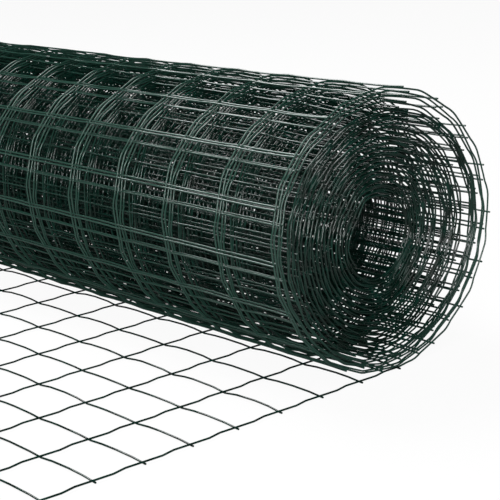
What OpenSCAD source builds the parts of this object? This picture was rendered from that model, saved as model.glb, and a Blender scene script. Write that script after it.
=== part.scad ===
// Roll of welded wire fencing lying on its side, with its loose end run out flat on the floor.
// X runs along the sheet's length, Y along the roll's axis and Z up.

/* [Mesh] */
// distance between line wires, which run along the sheet's length
line_pitch = 75; // [50:1:100]
// distance between cross wires, which run along the roll's axis
cross_pitch = 50; // [40:1:75]
// cells across the sheet's width
cells_wide = 12; // [8:1:16]
// cells along the flat loose end
cells_flat = 10; // [6:1:14]
// diameter of the coated wire
wire_d = 1.8; // [1.6:0.1:3]
// share of the wire's diameter that two wires sink into each other at a weld
weld_share = 0.15; // [0.1:0.01:0.3]
// length of a cut wire end past the last weld
stub = 2; // [2:0.5:8]
// sideways step of the crimp that each line wire has once a cell
crimp_step = 3.4; // [0.5:0.1:5]
// length of a crimp along the wire
crimp_run = 13; // [4:0.5:20]
// sides of a wire's section
wire_sides = 6; // [6:2:8]

/* [Roll] */
// outside diameter of the roll
roll_d = 270; // [220:1:320]
// diameter of the open bore
bore_d = 76; // [50:1:110]
// turns of mesh from the bore to the outside
turns = 36; // [16:1:44]
// turns that lie close together in a bundle
bundle_turns = 6; // [2:1:12]
// extra space between bundles, as a share of the space between close turns
bundle_gap_share = 2; // [0.2:0.1:4]
// depth to which each turn stands free at the roll's ends
turn_depth = 20; // [4:0.5:30]
// shift of the innermost turn along the axis, by which one end is dished and the other stands out
dish = 12; // [0:1:24]
// distance of the first flat cross wire past the roll's axis, where the sheet leaves the floor
lead = 10; // [0:1:30]
// depth to which the roll presses into the sheet below it
seat = 0.3; // [0.1:0.05:0.5]

/* [Hidden] */
green = [0.07, 0.16, 0.13];
wire_r = wire_d / 2;
corner_r = wire_r / cos(180 / wire_sides);
lay = wire_d * (1 - weld_share);
sheet_t = wire_d + lay;
sheet_w = cells_wide * line_pitch;
roll_r = roll_d / 2;
bore_r = bore_d / 2;
roll_half = sheet_w / 2 + wire_r;
x_first = lead;
x_last = lead - cells_flat * cross_pitch;
x_axis = -(x_last - stub + roll_r) / 2;
z_axis = sheet_t - seat + roll_r;
slant_share = crimp_step / cross_pitch;
crimp_half = (crimp_step - slant_share * crimp_run) / 2;
wire_end = sheet_w / 2 + max(stub, crimp_half + corner_r);
y_sheet = (wire_end - max(wire_end, roll_half + dish)) / 2;

// space after each turn, counted in spaces between close turns
turn_gaps = [for (k = [1 : turns - 1]) k % bundle_turns == 0 ? 1 + bundle_gap_share : 1];
function total(list, count, k = 0) = k >= count ? 0 : list[k] + total(list, count, k + 1);
gap_sum = total(turn_gaps, turns - 1);
wall_share = 0.6;
turn_wall = min(wire_d, wall_share * (roll_r - bore_r) / (gap_sum + 1));
turn_span = roll_r - bore_r - turn_wall;
function turn_in(k) = bore_r + turn_span * total(turn_gaps, k) / gap_sum;

// outline of one turn's edge at an end, from its inner foot over the rounded edge wire to its outer foot
edge_flat_share = 0.42;
edge_drop_share = 0.29;
function turn_shift(k) = dish * (roll_r - turn_wall - turn_in(k)) / turn_span;
function turn_edge(k) =
    let (a = turn_in(k), b = a + turn_wall, in = turn_wall * (1 - edge_flat_share) / 2)
    let (top = roll_half, low = roll_half - turn_wall * edge_drop_share, foot = roll_half - turn_depth)
    [[a, foot], [a, low], [a + in, top], [b - in, top], [b, low], [b, foot]];
// every turn's edge at one end, with each turn shifted along the axis
function end_edge(end) = [for (k = [0 : turns - 1]) for (p = turn_edge(k))
    [p[0], end * p[1] - turn_shift(k)]];
near_edge = end_edge(1);
far_edge = end_edge(-1);
last_point = len(near_edge) - 2;
roll_outline = concat(
    [for (k = [1 : last_point]) near_edge[k]],
    [for (k = [last_point : -1 : 1]) far_edge[k]]
);

// path of a line wire seen from above: a step across at each mid-cell crimp, a slant back through each weld
mid_share = 0.5;
function crimp_pair(k) =
    let (x = x_last + (k + 1 - mid_share) * cross_pitch)
    [[x - crimp_run / 2, -crimp_half], [x + crimp_run / 2, crimp_half]];
line_path = concat(
    [[x_last - stub, slant_share * stub]],
    [for (k = [0 : cells_flat - 1]) each crimp_pair(k)],
    [[x_first + stub, -slant_share * stub]]
);

// corners of a wire's section, with a flat at its top and bottom
turn_share = wire_sides == 6 ? 0 : 0.5;
section = [for (s = [0 : wire_sides - 1]) [
    corner_r * cos(360 * (s + turn_share) / wire_sides),
    corner_r * sin(360 * (s + turn_share) / wire_sides)
]];

// a wire swept along a path in the sheet's plane, with its flats up and down
module wire_along(path) {
    n = wire_sides;
    last = len(path) - 1;
    points = [for (p = path) for (s = section) [p[0], p[1] + s[0], s[1]]];
    sides = [for (i = [0 : last - 1]) for (s = [0 : n - 1])
        [i * n + s, (i + 1) * n + s, (i + 1) * n + (s + 1) % n, i * n + (s + 1) % n]];
    start = [[for (s = [0 : n - 1]) s]];
    finish = [[for (s = [n - 1 : -1 : 0]) last * n + s]];
    polyhedron(points = points, faces = concat(start, sides, finish));
}

module cross_wire() {
    rotate([90, 0, 0])
        rotate([0, 0, 360 * turn_share / wire_sides])
            cylinder(r = corner_r, h = sheet_w + 2 * stub, center = true, $fn = wire_sides);
}

module roll() {
    color(green)
        translate([x_axis, y_sheet, z_axis])
            rotate([90, 0, 0])
                rotate_extrude($fn = 180)
                    polygon(roll_outline);
}

module loose_end() {
    color(green)
        translate([x_axis, y_sheet, 0])
            union() {
                for (i = [0 : cells_flat])
                    translate([x_last + i * cross_pitch, 0, wire_r])
                        cross_wire();
                for (j = [0 : cells_wide])
                    translate([0, j * line_pitch - sheet_w / 2, wire_r + lay])
                        wire_along(line_path);
            }
}

roll();
loose_end();
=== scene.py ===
"""A roll of coated welded fencing on its side, with its loose end run out flat on a pale floor."""

import logging
import math
import random
from dataclasses import dataclass, field
from enum import Enum
from typing import Any, Sequence

import bmesh
import bpy
import numpy as np
from mathutils import Matrix, Vector

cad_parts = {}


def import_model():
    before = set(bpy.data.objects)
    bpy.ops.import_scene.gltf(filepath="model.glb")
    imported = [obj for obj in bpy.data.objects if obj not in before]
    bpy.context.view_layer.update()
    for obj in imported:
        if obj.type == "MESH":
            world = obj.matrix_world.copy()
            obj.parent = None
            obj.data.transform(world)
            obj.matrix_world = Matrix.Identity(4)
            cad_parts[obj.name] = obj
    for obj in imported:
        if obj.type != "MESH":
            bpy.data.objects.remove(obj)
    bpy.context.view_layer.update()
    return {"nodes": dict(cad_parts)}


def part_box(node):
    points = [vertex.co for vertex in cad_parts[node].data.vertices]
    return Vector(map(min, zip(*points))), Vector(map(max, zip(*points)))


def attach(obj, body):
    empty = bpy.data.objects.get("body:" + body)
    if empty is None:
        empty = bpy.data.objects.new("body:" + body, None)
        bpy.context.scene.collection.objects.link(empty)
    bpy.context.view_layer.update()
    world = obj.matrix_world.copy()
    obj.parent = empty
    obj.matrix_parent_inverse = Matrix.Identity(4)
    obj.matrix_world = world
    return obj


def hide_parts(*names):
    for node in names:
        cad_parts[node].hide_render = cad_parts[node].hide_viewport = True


LOG = logging.getLogger("wire_roll")
MM = 0.001
WHITE = "#ffffff"
FULL_TURN = 360.0
# Straight down from the roll's axis: its angle in degrees, and its place among radii at every 30 degrees.
DOWN = -90.0
DOWN_STEP = 9


def linear(hex_colour: str) -> tuple[float, float, float, float]:
    """Turn an sRGB hex colour into linear light.

    Args:
        hex_colour: Six hex digits, with or without a leading hash.

    Returns:
        Linear red, green and blue, and an alpha of one.
    """
    digits = hex_colour.lstrip("#")
    channels = [int(digits[i : i + 2], 16) / 255 for i in (0, 2, 4)]
    red, green, blue = [c / 12.92 if c <= 0.04045 else ((c + 0.055) / 1.055) ** 2.4 for c in channels]
    return red, green, blue, 1.0


def input_of(node: Any, name: str) -> Any:
    """Find an input of a node by its name, or by its number where inputs share a name.

    Args:
        node: Node that has the input.
        name: Name with underscores for spaces, or the letter i with the input's number.

    Returns:
        The input socket.
    """
    if name[0] == "i" and name[1:].isdigit():
        return node.inputs[int(name[1:])]
    return node.inputs[name.replace("_", " ")]


def add_node(tree: Any, kind: str, settings: dict[str, Any] | None = None, **inputs: Any) -> Any:
    """Add one shader node, with its settings and its inputs.

    Args:
        tree: Node tree that gets the node.
        kind: Blender's name of the node type.
        settings: Properties of the node itself.
        inputs: Inputs as input_of names them; an output socket is linked, a value is set.

    Returns:
        The new node.
    """
    node = tree.nodes.new(kind)
    for name, value in (settings or {}).items():
        setattr(node, name, value)
    for name, value in inputs.items():
        socket = input_of(node, name)
        if isinstance(value, bpy.types.NodeSocket):
            tree.links.new(value, socket)
        else:
            socket.default_value = value
    return node


@dataclass(frozen=True)
class CoatedWireFinish:
    """Green PVC over galvanised wire, drawn on through a die; plain, or with painted light on the outermost
    turns.
    """

    # A coat drawn on through a die is smooth and closed: near-black green, with thin sharp glints.
    name: str = "extruded_green_pvc"
    deep_green: str = "#031b13"
    worn_green: str = "#0b342a"
    roughness: float = 0.13
    ior: float = 1.55
    # Its thickness varies slowly along the wire: the green shifts a little between deep and worn.
    mottle_mm: float = 14.0
    mottle_detail: float = 2.0
    mottle_range: tuple[float, float] = (0.35, 0.7)
    # The die leaves a shallow unevenness: glints break up instead of running on in one line.
    ripple_mm: float = 3.0
    ripple_detail: float = 1.0
    ripple_strength: float = 0.25
    ripple_height_mm: float = 0.2
    # Painted light on the outermost turns: a greyer, paler green, so they read as lit against the shaded
    # turns behind them.
    painted_lit_name: str = "green_pvc_painted_lit_outer_turns"
    painted_lit_green: str = "#2b4a40"
    # Distances from the roll's axis at which the painted light begins and is complete.
    painted_lit_from_mm: float = 112.0
    painted_lit_to_mm: float = 134.0

    def material(self, axis: Vector | None = None) -> bpy.types.Material:
        """Build the wire's material.

        Args:
            axis: A point on the roll's axis in metres, for wire whose outermost turns get painted light.

        Returns:
            A material that reads Object coordinates only.
        """
        material = bpy.data.materials.new(self.painted_lit_name if axis else self.name)
        material.use_nodes = True
        tree = material.node_tree
        tree.nodes.clear()
        place = add_node(tree, "ShaderNodeTexCoord").outputs["Object"]
        mottle = self.noise(tree, place, self.mottle_mm, self.mottle_detail)
        ramp = add_node(tree, "ShaderNodeValToRGB", Fac=mottle)
        greens = (self.deep_green, self.worn_green)
        for stop, position, green in zip(ramp.color_ramp.elements, self.mottle_range, greens):
            stop.position = position
            stop.color = linear(green)
        colour = ramp.outputs["Color"]
        bump = add_node(
            tree,
            "ShaderNodeBump",
            Strength=self.ripple_strength,
            Distance=self.ripple_height_mm * MM,
            Height=self.noise(tree, place, self.ripple_mm, self.ripple_detail),
        )
        skin = add_node(
            tree,
            "ShaderNodeBsdfPrincipled",
            Base_Color=self.painted_lit(tree, place, colour, axis) if axis else colour,
            Roughness=self.roughness,
            IOR=self.ior,
            Normal=bump.outputs["Normal"],
        )
        add_node(tree, "ShaderNodeOutputMaterial", Surface=skin.outputs["BSDF"])
        return material

    def noise(self, tree: Any, place: Any, size_mm: float, detail: float) -> Any:
        """Add an uneven pattern of a real size.

        Args:
            tree: Node tree of the material.
            place: Socket with the Object coordinates.
            size_mm: Size of the pattern on the wire.
            detail: How many finer patterns are laid over it.

        Returns:
            The socket with the pattern.
        """
        scale = 1 / (size_mm * MM)
        return add_node(tree, "ShaderNodeTexNoise", Vector=place, Scale=scale, Detail=detail).outputs["Fac"]

    def painted_lit(self, tree: Any, place: Any, plain_wire: Any, axis: Vector) -> Any:
        """Paint light onto the outermost turns: the colour grows greyer and paler towards the outside of the
        roll.

        Args:
            tree: Node tree of the material.
            place: Socket with the Object coordinates.
            plain_wire: Socket with the wire's own colour, without painted light.
            axis: A point on the roll's axis in metres.

        Returns:
            The socket with the mixed colour.
        """
        square_to_axis = (1, 0, 1)
        offset = add_node(tree, "ShaderNodeVectorMath", {"operation": "SUBTRACT"}, i0=place, i1=axis)
        radial = add_node(
            tree, "ShaderNodeVectorMath", {"operation": "MULTIPLY"}, i0=offset.outputs[0], i1=square_to_axis
        )
        reach = add_node(tree, "ShaderNodeVectorMath", {"operation": "LENGTH"}, i0=radial.outputs[0])
        share = add_node(
            tree,
            "ShaderNodeMapRange",
            Value=reach.outputs["Value"],
            From_Min=self.painted_lit_from_mm * MM,
            From_Max=self.painted_lit_to_mm * MM,
        )
        both = add_node(
            tree,
            "ShaderNodeMix",
            {"data_type": "RGBA"},
            i0=share.outputs[0],
            i6=plain_wire,
            i7=linear(self.painted_lit_green),
        )
        return both.outputs[2]


@dataclass
class WireMesh:
    """The welded sheet as it leaves the machine, in millimetres: pitches, wire, crimps and cut ends."""

    line_pitch: float = 75.0
    cross_pitch: float = 50.0
    cells_wide: int = 12
    cells_flat: int = 10
    wire_d: float = 1.8
    # Share of the wire's diameter that two wires sink into each other at a weld.
    weld_share: float = 0.15
    # Length of a cut wire end past the last weld.
    stub: float = 2.0
    # Sideways step of a line wire's crimp on the floor and in the roll, and its share of a cell.
    crimp_step: float = 3.4
    wound_crimp_step: float = 2.4
    crimp_share: float = 0.26
    # How far a wound cell bulges at its crimp, and the share of that which is lost towards the bore.
    crimp_bend: float = 1.6
    bend_loss: float = 0.2
    # Share of a wound cell's length that its crimp takes up.
    take_up: float = 0.022
    # Where a line wire gets its points in each cell, close together at the crimp.
    cell_stops: tuple[float, ...] = (0.0, 0.2, 0.36, 0.45, 0.55, 0.64, 0.8)
    # Bow of a cross wire between welds on the floor and in the roll, and how many times its spread that is.
    bow: float = 2.0
    wound_bow: float = 1.0
    bow_to_spread: float = 3.0
    # Shoulders of the bow: share of a cell from each weld, and height as a share of the bow.
    bow_share: float = 0.22
    shoulder: float = 0.75
    # Between which shares of a cell the bow has its peak.
    peak_range: tuple[float, float] = (0.35, 0.65)

    @property
    def lay(self) -> float:
        """Distance between the middles of two wires at a weld."""
        return self.wire_d * (1 - self.weld_share)

    @property
    def width(self) -> float:
        """Distance between the two edge wires."""
        return self.cells_wide * self.line_pitch

    def run_to(self, welds: float) -> float:
        """Length of sheet up to a weld, where the crimps take up a little of every wound cell.

        Args:
            welds: Number of the weld, counted into the roll from the first flat one.

        Returns:
            The length, negative on the floor.
        """
        return welds * self.cross_pitch * (1 - self.take_up if welds > 0 else 1)

    def side_of(self, line: int) -> float:
        """Place of a line wire across the sheet, from the sheet's middle."""
        return line * self.line_pitch - self.width / 2

    def crimp(self, welds: float) -> float:
        """Sideways place of a line wire, which steps across in mid cell and slants back through the weld.

        Args:
            welds: Place along the sheet, counted in welds.

        Returns:
            The shift along the roll's axis in millimetres.
        """
        share = welds - math.floor(welds)
        climb = min(max((share - 0.5) / self.crimp_share + 0.5, 0.0), 1.0)
        return (self.wound_crimp_step if welds > 0 else self.crimp_step) * (climb - share)


def round_the_clock(radii: Sequence[float], angle: float) -> float:
    """Read a closed outline given as radii at equal steps of angle.

    Args:
        radii: Radii counter-clockwise from the right, over one full turn.
        angle: Angle in radians.

    Returns:
        The radius at that angle, along a smooth closed curve.
    """
    count = len(radii)
    place = angle / math.tau * count
    first = math.floor(place)
    t = place - first
    a, b, c, d = (radii[(first + k) % count] for k in (-1, 0, 1, 2))
    # A Catmull-Rom curve, which goes through b and c and takes its slopes from their neighbours.
    return b + 0.5 * t * (c - a + t * (2 * a - 5 * b + 4 * c - d + t * (3 * (b - c) + d - a)))


@dataclass
class Winding:
    """How the sheet lies in the roll, in millimetres around the roll's axis, seen from the near end.

    The outline and the bore are radii at every 30 degrees from the right. The bundles say where the turns
    lie between the two on the right, above and on the left, from zero at the outline to one at the bore:
    first turn, last turn and number of turns. Low on the left the turns lie in pairs, and on the left itself
    all but the loose outer ones do. Away from the roll's ends the turns have settled: the inner ones lie
    evenly round the bore, the outer ones close up along the top, and the outer ones are pressed together
    along the bottom.
    """

    axis_x: float
    axis_z: float
    middle_y: float = 0.0
    # Distance of the first flat weld past the axis, where the sheet leaves the floor.
    lead: float = 10.0
    outline: tuple[float, ...] = (
        140.2, 133.6, 129.4, 129.6, 133.0, 142.0, 140.5, 135.2, 134.2, 135.7, 136.6, 140.2,
    )
    bore: tuple[float, ...] = (37.5, 32.5, 30.8, 31.2, 31.3, 29.5, 36.5, 43.0, 46.8, 47.2, 43.5, 40.2)
    right_bundles: tuple[tuple[float, float, int], ...] = (
        (0.0, 0.0, 1), (0.058, 0.077, 2), (0.144, 0.225, 6), (0.333, 0.349, 2),
        (0.396, 0.568, 9), (0.64, 0.703, 4), (0.75, 0.86, 6), (0.895, 1.0, 7),
    )
    upper_bundles: tuple[tuple[float, float, int], ...] = (
        (0.0, 0.0, 1), (0.038, 0.08, 2), (0.15, 0.235, 6), (0.315, 0.58, 12), (0.61, 1.0, 16),
    )
    left_bundles: tuple[tuple[float, float, int], ...] = (
        (0.0, 0.119, 4), (0.208, 0.303, 4), (0.33, 1.0, 29),
    )
    # Depth of the first turn where it comes round to the floor, and how far pairs close in even spaces.
    floor_gap: float = 0.028
    pairing: float = 0.38
    loose_turns: int = 8
    # Depth past which turns settle evenly, over which depth that comes in, and how they crowd the bore.
    settled_from: float = 0.4
    settled_over: float = 0.2
    crowding: float = 0.75
    # How far turns are pressed out along the bottom, and the depth at which that ends.
    press: float = 0.1
    press_end: float = 0.6
    # Angles in degrees: where the last turn ends, and over how much the turns' places are evened out.
    last_angle: float = 240.0
    blend: float = 30.0
    # Shift of the innermost turn along the axis.
    dish: float = 12.0
    steps_per_turn: int = 720
    # Length of sheet to each side of a point over which its slope is taken.
    slope_reach: float = 1.0
    run: np.ndarray = field(init=False)
    across: np.ndarray = field(init=False)
    up: np.ndarray = field(init=False)
    depth: np.ndarray = field(init=False)
    settling: np.ndarray = field(init=False)

    def __post_init__(self) -> None:
        """Trace the spiral from the floor to the bore."""
        first = math.degrees(math.atan2(-self.floor_radius, self.lead))
        last = self.last_angle + FULL_TURN * (sum(count for _, _, count in self.right_bundles) - 1)
        angles = np.arange(first, last, FULL_TURN / self.steps_per_turn)
        self.depth = self.shares(angles)
        turns = np.radians(angles)
        outer, inner = (np.array([round_the_clock(r, a) for a in turns]) for r in (self.outline, self.bore))
        radius = outer + (inner - outer) * self.depth
        even = (angles - DOWN) / (last - DOWN)
        self.settling = (outer - inner) * self.settled_shares(turns, even)
        self.across = self.axis_x + radius * np.cos(turns)
        self.up = self.axis_z + radius * np.sin(turns)
        steps = np.hypot(np.diff(self.across), np.diff(self.up))
        self.run = np.concatenate([[0.0], np.cumsum(steps)])

    @property
    def floor_radius(self) -> float:
        """Height of the roll's axis over the middle of the flat sheet."""
        return self.outline[DOWN_STEP]

    @property
    def length(self) -> float:
        """Length of sheet in the roll."""
        return float(self.run[-1])

    def shares(self, angles: np.ndarray) -> np.ndarray:
        """Say how far in from the outline towards the bore the sheet lies.

        Args:
            angles: Angles wound so far in degrees, from the right-hand side.

        Returns:
            Zero at the outline and one at the bore, for each angle.
        """
        right, upper, left = (
            np.concatenate([np.linspace(*bundle) for bundle in bundles])
            for bundles in (self.right_bundles, self.upper_bundles, self.left_bundles)
        )
        turns = len(right)
        count = np.arange(turns)
        close = np.where(count % 2 == 0, 1, -1) * self.pairing / (turns - 1)
        left = left + close * (count >= self.loose_turns)
        lower = count / (turns - 1) + close * (count > 0)
        above = (upper + 2 * left) / 3
        below = np.linspace(self.floor_gap, 1.0, turns)
        # Angle of each side in degrees, with the place of every turn there.
        sides = (
            (-50, right), (5, right), (50, upper), (80, above), (157, left), (230, lower), (275, below),
        )
        stops = [(DOWN, 0.0)]
        stops += [(side + FULL_TURN * k, places[k]) for k in range(turns) for side, places in sides]
        rough = np.interp(angles, *zip(*stops))
        half = round(self.blend / 2 / FULL_TURN * self.steps_per_turn)
        window = np.ones(2 * half + 1) / (2 * half + 1)
        return np.convolve(np.pad(rough, half, "edge"), window, "valid")

    def settled_shares(self, turns: np.ndarray, even: np.ndarray) -> np.ndarray:
        """Say how far out the sheet has settled away from the roll's ends.

        Args:
            turns: Angles wound so far in radians.
            even: How far in the sheet would lie at each angle if all turns lay evenly.

        Returns:
            The shift at each angle, as a share of the way from the bore to the outline.
        """
        top = np.maximum(np.sin(turns), 0.0) ** 2
        bottom = np.maximum(-np.sin(turns), 0.0) ** 2
        deep = np.clip((self.depth - self.settled_from) / self.settled_over, 0.0, 1.0)
        closed = deep * (self.depth - even**self.crowding) + (1 - deep) * top * (self.depth - even)
        pressed = self.press * np.sin(np.pi * np.clip(self.depth / self.press_end, 0.0, 1.0)) * bottom
        return closed + pressed

    def settle(self, run: float) -> float:
        """How far the sheet settles along its outward normal away from the roll's ends, in millimetres."""
        return float(np.interp(run, self.run, self.settling))

    def at(self, run: float) -> tuple[Vector, Vector]:
        """Place a point of the sheet's middle surface.

        Args:
            run: Length along the sheet from the first flat weld, negative on the floor.

        Returns:
            The point, whose Y is the sheet's shift along the axis, and the unit normal that points outwards.
        """
        if run <= 0:
            flat = Vector((self.axis_x + self.lead + run, self.middle_y, self.axis_z - self.floor_radius))
            return flat, Vector((0, 0, -1))
        near = min(max(run, self.slope_reach), self.length - self.slope_reach)
        x, z, depth = (float(np.interp(run, self.run, v)) for v in (self.across, self.up, self.depth))
        ahead = [float(np.interp(near + self.slope_reach, self.run, v)) for v in (self.across, self.up)]
        back = [float(np.interp(near - self.slope_reach, self.run, v)) for v in (self.across, self.up)]
        normal = Vector((ahead[1] - back[1], 0.0, back[0] - ahead[0])).normalized()
        return Vector((x, self.middle_y + self.dish * max(depth, 0.0), z)), normal


class Stretch(Enum):
    """Stretches of the one sheet, each with its name and the node that it stands for."""

    FLAT = ("flat", "loose_end")
    OUTER = ("outer", "roll")
    MIDDLE = ("middle", "roll")
    INNER = ("inner", "roll")


@dataclass
class FenceSheet:
    """The whole sheet of fencing: its wires follow the winding, and bend a little more at their crimps."""

    mesh: WireMesh
    winding: Winding
    finish: CoatedWireFinish
    # How far cross wires stray along the sheet between welds, in millimetres.
    stray: float = 0.22
    # How far line wires wander in and out, in millimetres, and over how many cells.
    wander: float = 0.3
    wander_cells: int = 5
    # Share of the wander at the near edge, what each next wire adds, and the welds over which it grows.
    edge_wander: float = 0.3
    wander_growth: float = 0.5
    calm_welds: int = 60
    # Share of the settling that the first wire inside an edge has.
    settle_growth: float = 0.85
    # Blender's steps of roundness for a wire.
    roundness: int = 1
    seed: int = 11
    dice: random.Random = field(init=False)
    first_weld: int = field(init=False)
    last_weld: int = field(init=False)
    shifts: list[np.ndarray] = field(init=False)

    def __post_init__(self) -> None:
        """Count the welds and draw how far each line wire wanders in and out along the winding."""
        self.dice = random.Random(self.seed)
        self.last_weld = int((self.winding.length - self.mesh.stub) // self.mesh.run_to(1))
        self.first_weld = -self.mesh.cells_flat
        self.shifts = [self.wander_of(line) for line in range(self.mesh.cells_wide + 1)]

    def wander_of(self, line: int) -> np.ndarray:
        """Draw how far a line wire lies out from the winding at every weld.

        Args:
            line: Number of the line wire from the near edge, where the wander is least.

        Returns:
            The shift at each weld in millimetres, least on the outer turns.
        """
        count = self.last_weld + 2
        share = min(1.0, self.edge_wander + self.wander_growth * line)
        reach = self.wander * math.sqrt(self.wander_cells) * share
        rough = [self.dice.gauss(0.0, reach) for _ in range(count + self.wander_cells - 1)]
        smooth = np.convolve(rough, np.ones(self.wander_cells) / self.wander_cells, "valid")
        return smooth * np.minimum(np.arange(count) / self.calm_welds, 1.0)

    def rows(self, stretch: Stretch) -> range:
        """List the weld rows of a stretch, with the rows that it shares with its neighbours.

        Args:
            stretch: Stretch of the sheet.

        Returns:
            Numbers of the weld rows.
        """
        third = self.last_weld // 3
        first, last = {
            Stretch.FLAT: (self.first_weld, 0),
            Stretch.OUTER: (0, third),
            Stretch.MIDDLE: (third, 2 * third),
            Stretch.INNER: (2 * third, self.last_weld),
        }[stretch]
        return range(first, last + 1)

    def place(self, welds: float, line: int) -> tuple[Vector, Vector]:
        """Place a point of the sheet's middle surface, straight at the welds and bent at the crimps.

        Args:
            welds: Place along the sheet, counted in welds.
            line: Number of the line wire that runs through the point, from the near edge.

        Returns:
            The point and the outward normal.
        """
        run = self.mesh.run_to(welds)
        point, normal = self.winding.at(run)
        if welds <= 0:
            return point, normal
        weld = math.floor(welds)
        before, after = self.shifts[line][weld : weld + 2]
        shift = before + (after - before) * (welds - weld)
        inside = min(line, self.mesh.cells_wide - line)
        shift += self.winding.settle(run) * min(self.settle_growth * inside, 1.0)
        # A bulge that is greatest in mid cell and leaves the sheet where it is on average.
        away = welds - round(welds)
        bend = self.mesh.crimp_bend * (1 - self.mesh.bend_loss * welds / self.last_weld)
        return point + normal * (bend * (4 * away * away - 1 / 3) + shift), normal

    def line_wire(self, line: int, stretch: Stretch) -> list[Vector]:
        """Trace one line wire of a stretch, with its crimps.

        Args:
            line: Number of the wire from the near edge.
            stretch: Stretch of the sheet that is traced.

        Returns:
            Points along the wire's middle, in millimetres.
        """
        mesh = self.mesh
        rows = self.rows(stretch)
        stub = mesh.stub / mesh.cross_pitch
        stops = [weld + share for weld in rows[:-1] for share in mesh.cell_stops] + [rows[-1]]
        if stretch is Stretch.FLAT:
            stops.insert(0, stops[0] - stub)
        if stretch is Stretch.INNER:
            stops.append(stops[-1] + stub)
        points = []
        for welds in stops:
            point, normal = self.place(welds, line)
            side = Vector((0.0, mesh.side_of(line) + mesh.crimp(welds), 0.0))
            points.append(point - normal * (mesh.lay / 2) + side)
        return points

    def cross_wire(self, weld: int) -> list[Vector]:
        """Trace one cross wire, which stands out a little at every weld.

        Args:
            weld: Number of the weld row.

        Returns:
            Points along the wire's middle, in millimetres.
        """
        mesh = self.mesh
        welds = []
        for line in range(mesh.cells_wide + 1):
            point, normal = self.place(weld, line)
            welds.append(point + normal * (mesh.lay / 2) + Vector((0.0, mesh.side_of(line), 0.0)))
        bow = mesh.wound_bow if weld > 0 else mesh.bow
        along = Vector((-normal.z, 0.0, normal.x))
        cut = Vector((0.0, mesh.stub, 0.0))
        points = [welds[0] - cut, welds[0]]
        for near, far in zip(welds, welds[1:]):
            depth = max(self.dice.gauss(bow, bow / mesh.bow_to_spread), 0.0)
            slant = self.dice.gauss(0.0, self.stray)
            peak = self.dice.uniform(*mesh.peak_range)
            first, last = (mesh.bow_share, mesh.shoulder), (1 - mesh.bow_share, mesh.shoulder)
            for share, height in (first, (peak, 1.0), last):
                points.append(near.lerp(far, share) + height * (along * slant - normal * depth))
            points.append(far)
        return points + [welds[-1] + cut]

    def piece(
        self, name: str, stretch: Stretch, wires: list[list[Vector]], material: bpy.types.Material
    ) -> None:
        """Draw wires as one piece of round wire.

        Args:
            name: Name of the piece.
            stretch: Stretch of the sheet that the piece stands for.
            wires: Points of each wire, in millimetres.
            material: The wire's finish.
        """
        curve = bpy.data.curves.new(name, "CURVE")
        curve.dimensions = "3D"
        curve.bevel_depth = self.mesh.wire_d / 2 * MM
        curve.bevel_resolution = self.roundness
        curve.use_fill_caps = True
        for points in wires:
            spline = curve.splines.new("POLY")
            spline.points.add(len(points) - 1)
            spline.points.foreach_set("co", [c for p in points for c in (*(p * MM), 1.0)])
        holder = bpy.data.objects.new(name, curve)
        bpy.context.scene.collection.objects.link(holder)
        drawn = holder.evaluated_get(bpy.context.evaluated_depsgraph_get())
        mesh = bpy.data.meshes.new_from_object(drawn)
        bpy.data.objects.remove(holder)
        bpy.data.curves.remove(curve)
        mesh.name = name
        mesh.shade_smooth()
        mesh.materials.clear()
        mesh.materials.append(material)
        made = bpy.data.objects.new(name, mesh)
        bpy.context.scene.collection.objects.link(made)
        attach(made, "root")
        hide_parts(stretch.value[1])
        mesh.calc_loop_triangles()
        LOG.info("%s: %d wires, %d triangles", name, len(wires), len(mesh.loop_triangles))

    def build(self) -> None:
        """Draw the line wires and the cross wires of every stretch."""
        plain_wire = self.finish.material()
        axis = Vector((self.winding.axis_x, 0.0, self.winding.axis_z)) * MM
        # Painted light: on the outer stretch the outermost turns get a paler, greyer green, as if lit, in
        # front of the darker turns behind them.
        painted_lit = self.finish.material(axis)
        for stretch in Stretch:
            rows = self.rows(stretch)
            material = painted_lit if stretch is Stretch.OUTER else plain_wire
            lines = [self.line_wire(line, stretch) for line in range(self.mesh.cells_wide + 1)]
            crosses = [self.cross_wire(weld) for weld in rows if stretch is Stretch.FLAT or weld > rows[0]]
            self.piece(f"{stretch.value[0]}_line_wires", stretch, lines, material)
            self.piece(f"{stretch.value[0]}_cross_wires", stretch, crosses, material)


@dataclass(frozen=True)
class SoftLamp:
    """A square soft lamp, in metres and watts."""

    name: str
    place: tuple[float, float, float]
    target: tuple[float, float, float]
    size: float
    watts: float

    def hang(self) -> None:
        """Hang the lamp at its place and point it at its target."""
        light = bpy.data.lights.new(self.name, "AREA")
        light.shape = "SQUARE"
        light.size = self.size
        light.energy = self.watts
        lamp = bpy.data.objects.new(self.name, light)
        lamp.location = self.place
        lamp.rotation_euler = (Vector(self.target) - Vector(self.place)).to_track_quat("-Z", "Y").to_euler()
        bpy.context.scene.collection.objects.link(lamp)


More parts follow.
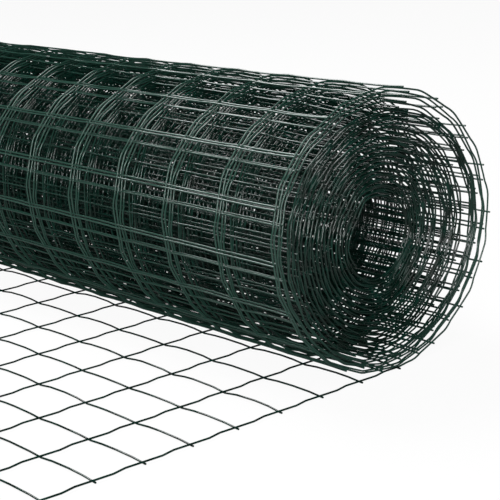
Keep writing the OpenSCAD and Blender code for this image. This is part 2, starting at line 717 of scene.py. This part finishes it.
@dataclass
class Studio:
    """Pale floor, soft lamps and the camera, in metres."""

    camera_place: tuple[float, float, float] = (-0.7992, -1.4082, 0.4889)
    heading: float = math.radians(40.48)
    pitch: float = math.radians(14.99)
    bank: float = math.radians(-3.20)
    lens_px: float = 1547.0
    image_px: float = 500.0
    sensor_mm: float = 36.0
    view_end: float = 100.0
    floor_half: float = 30.0
    # Grey that the wire gets its light back from, and the share of the floor's look that is plain white.
    floor_grey: str = "#9c9c9c"
    white_share: float = 0.94
    room_light: float = 0.02
    lamps: tuple[SoftLamp, ...] = (
        SoftLamp("overhead", (0.0, 1.1, 2.05), (0.1, 0.0, 0.1), 1.3, 60.0),
        SoftLamp("front", (-1.8, -2.1, 0.9), (0.1, -0.3, 0.15), 0.9, 44.0),
        SoftLamp("high", (-0.9, -1.5, 2.1), (0.1, -0.2, 0.2), 1.2, 20.0),
    )

    def floor(self) -> None:
        """Lay the floor, which shows white to the eye and keeps the roll's shadow."""
        mesh = bpy.data.meshes.new("floor")
        shape = bmesh.new()
        bmesh.ops.create_grid(shape, x_segments=1, y_segments=1, size=self.floor_half)
        shape.to_mesh(mesh)
        shape.free()
        floor = bpy.data.objects.new("floor", mesh)
        bpy.context.scene.collection.objects.link(floor)
        # Matt painted board: no glint, and to the eye all but white, with a faint soft shadow.
        material = bpy.data.materials.new("matt_white_floor")
        material.use_nodes = True
        tree = material.node_tree
        tree.nodes.clear()
        eye = add_node(tree, "ShaderNodeLightPath").outputs["Is Camera Ray"]
        grey = add_node(tree, "ShaderNodeBsdfDiffuse", Color=linear(self.floor_grey))
        matt = add_node(tree, "ShaderNodeBsdfDiffuse", Color=linear(WHITE))
        glow = add_node(tree, "ShaderNodeEmission", Color=linear(WHITE), Strength=1.0)
        pale = add_node(
            tree, "ShaderNodeMixShader", i0=self.white_share, i1=matt.outputs[0], i2=glow.outputs[0]
        )
        both = add_node(tree, "ShaderNodeMixShader", i0=eye, i1=grey.outputs[0], i2=pale.outputs[0])
        add_node(tree, "ShaderNodeOutputMaterial", Surface=both.outputs[0])
        mesh.materials.append(material)

    def surroundings(self) -> None:
        """Light the room faintly from all sides, and show it white to the eye."""
        world = bpy.data.worlds.new("soft_room")
        bpy.context.scene.world = world
        world.use_nodes = True
        tree = world.node_tree
        tree.nodes.clear()
        eye = add_node(tree, "ShaderNodeLightPath").outputs["Is Camera Ray"]
        room = add_node(tree, "ShaderNodeBackground", Color=linear(WHITE), Strength=self.room_light)
        white = add_node(tree, "ShaderNodeBackground", Color=linear(WHITE), Strength=1.0)
        both = add_node(tree, "ShaderNodeMixShader", i0=eye, i1=room.outputs[0], i2=white.outputs[0])
        add_node(tree, "ShaderNodeOutputWorld", Surface=both.outputs[0])

    def camera(self) -> None:
        """Set up the camera where the photograph was taken from."""
        level_share = math.cos(self.pitch)
        east, north = math.sin(self.heading), math.cos(self.heading)
        forward = Vector((east * level_share, north * level_share, -math.sin(self.pitch)))
        level = Vector((north, -east, 0.0))
        upright = level.cross(forward)
        right = level * math.cos(self.bank) + upright * math.sin(self.bank)
        top = upright * math.cos(self.bank) - level * math.sin(self.bank)
        data = bpy.data.cameras.new("camera")
        data.sensor_width = self.sensor_mm
        data.lens = self.sensor_mm * self.lens_px / self.image_px
        data.clip_end = self.view_end
        camera = bpy.data.objects.new("camera", data)
        turn = Matrix((right, top, -forward)).transposed()
        camera.matrix_world = Matrix.Translation(self.camera_place) @ turn.to_4x4()
        bpy.context.scene.collection.objects.link(camera)
        bpy.context.scene.camera = camera

    def build(self) -> None:
        """Set up the floor, the light and the camera."""
        bpy.context.scene.view_settings.view_transform = "Standard"
        self.floor()
        self.surroundings()
        for lamp in self.lamps:
            lamp.hang()
        self.camera()


def main() -> None:
    """Build the roll and the studio, placed by the boxes of the roll and its loose end."""
    logging.basicConfig(level=logging.INFO, format="%(message)s")
    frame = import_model()
    low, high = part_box("roll")
    mesh = WireMesh()
    axis_z = mesh.wire_d / 2 + mesh.lay / 2 + Winding.outline[DOWN_STEP]
    near, far = (v[1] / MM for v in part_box("loose_end"))
    winding = Winding(axis_x=(low[0] + high[0]) / 2 / MM, axis_z=axis_z, middle_y=(near + far) / 2)
    LOG.info("frame has %d nodes; %.2f m of sheet in the roll", len(frame["nodes"]), winding.length * MM)
    FenceSheet(mesh, winding, CoatedWireFinish()).build()
    Studio().build()


if __name__ == "__main__":
    main()
